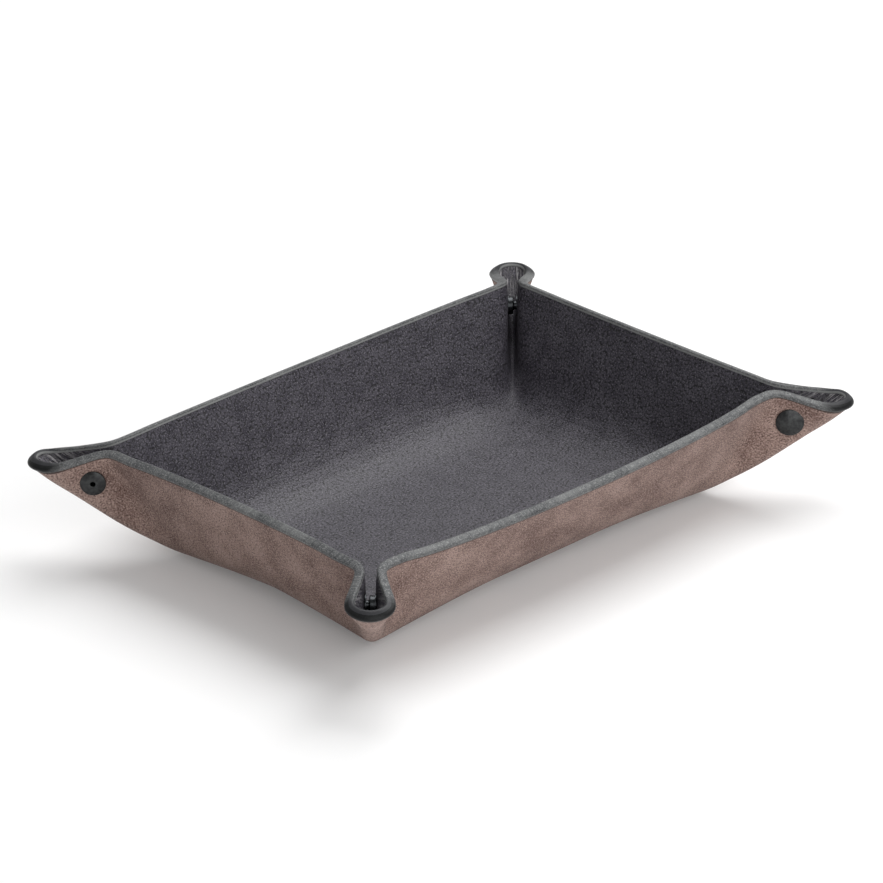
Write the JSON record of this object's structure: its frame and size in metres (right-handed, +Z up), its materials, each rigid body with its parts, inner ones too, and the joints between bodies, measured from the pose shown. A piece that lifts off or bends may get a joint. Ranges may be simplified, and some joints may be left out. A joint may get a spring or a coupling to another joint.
{
  "type": "valet tray",
  "caption": "Rectangular valet tray of folded two-layer leather, with low leaning walls and pinched corners that press-studs hold in outward fins.",
  "frame": {"origin": "middle of the underside, on the surface the tray stands on", "axes": "+X along the long walls, +Y along the short walls, +Z up"},
  "size_m": [0.3002, 0.2138, 0.0533],
  "materials": {
    "brown_leather": "matt nubuck",
    "black_leather": "smooth fine grain",
    "black_metal": "satin black",
    "bright_metal": "nickel plated",
    "spring_steel": "drawn wire"
  },
  "bodies": {
    "sheet": {"outer_leather": "brown_leather", "lining": "black_leather"},
    "rear_right_long_flap": {"rear_right_long_flap_outer": "brown_leather", "rear_right_long_flap_lining": "black_leather", "rear_right_cap": "black_metal", "rear_right_socket": "bright_metal", "rear_right_ring_spring": "spring_steel"},
    "rear_right_short_flap": {"rear_right_short_flap_outer": "brown_leather", "rear_right_short_flap_lining": "black_leather", "rear_right_stud": "bright_metal", "rear_right_back": "black_metal"},
    "rear_left_long_flap": {"rear_left_long_flap_outer": "brown_leather", "rear_left_long_flap_lining": "black_leather", "rear_left_cap": "black_metal", "rear_left_socket": "bright_metal", "rear_left_ring_spring": "spring_steel"},
    "rear_left_short_flap": {"rear_left_short_flap_outer": "brown_leather", "rear_left_short_flap_lining": "black_leather", "rear_left_stud": "bright_metal", "rear_left_back": "black_metal"},
    "front_left_long_flap": {"front_left_long_flap_outer": "brown_leather", "front_left_long_flap_lining": "black_leather", "front_left_cap": "black_metal", "front_left_socket": "bright_metal", "front_left_ring_spring": "spring_steel"},
    "front_left_short_flap": {"front_left_short_flap_outer": "brown_leather", "front_left_short_flap_lining": "black_leather", "front_left_stud": "bright_metal", "front_left_back": "black_metal"},
    "front_right_long_flap": {"front_right_long_flap_outer": "brown_leather", "front_right_long_flap_lining": "black_leather", "front_right_cap": "black_metal", "front_right_socket": "bright_metal", "front_right_ring_spring": "spring_steel"},
    "front_right_short_flap": {"front_right_short_flap_outer": "brown_leather", "front_right_short_flap_lining": "black_leather", "front_right_stud": "bright_metal", "front_right_back": "black_metal"}
  },
  "joints": [
    {"name": "rear_right_snap", "type": "hinge", "parent": "sheet", "child": "rear_right_long_flap", "pos_m": [0.11511, 0.07909, 0.02051], "axis": [-0.5711, -0.6103, -0.5489], "range_deg": [0, 30]},
    {"name": "rear_right_snap_stud_side", "type": "hinge", "parent": "sheet", "child": "rear_right_short_flap", "pos_m": [0.12234, 0.07186, 0.02051], "axis": [0.6103, 0.5711, 0.5489], "range_deg": [0, 30]},
    {"name": "rear_left_snap", "type": "hinge", "parent": "sheet", "child": "rear_left_long_flap", "pos_m": [-0.11511, 0.07909, 0.02051], "axis": [-0.5711, 0.6103, 0.5489], "range_deg": [0, 30]},
    {"name": "rear_left_snap_stud_side", "type": "hinge", "parent": "sheet", "child": "rear_left_short_flap", "pos_m": [-0.12234, 0.07186, 0.02051], "axis": [0.6103, -0.5711, -0.5489], "range_deg": [0, 30]},
    {"name": "front_left_snap", "type": "hinge", "parent": "sheet", "child": "front_left_long_flap", "pos_m": [-0.11511, -0.07909, 0.02051], "axis": [0.5711, 0.6103, -0.5489], "range_deg": [0, 30]},
    {"name": "front_left_snap_stud_side", "type": "hinge", "parent": "sheet", "child": "front_left_short_flap", "pos_m": [-0.12234, -0.07186, 0.02051], "axis": [-0.6103, -0.5711, 0.5489], "range_deg": [0, 30]},
    {"name": "front_right_snap", "type": "hinge", "parent": "sheet", "child": "front_right_long_flap", "pos_m": [0.11511, -0.07909, 0.02051], "axis": [0.5711, -0.6103, 0.5489], "range_deg": [0, 30]},
    {"name": "front_right_snap_stud_side", "type": "hinge", "parent": "sheet", "child": "front_right_short_flap", "pos_m": [0.12234, -0.07186, 0.02051], "axis": [-0.6103, 0.5711, -0.5489], "range_deg": [0, 30]}
  ],
  "couplings": [
    {"joint": "rear_right_snap_stud_side", "follows": "rear_right_snap", "ratio": 1},
    {"joint": "rear_left_snap_stud_side", "follows": "rear_left_snap", "ratio": 1},
    {"joint": "front_left_snap_stud_side", "follows": "front_left_snap", "ratio": 1},
    {"joint": "front_right_snap_stud_side", "follows": "front_right_snap", "ratio": 1}
  ]
}
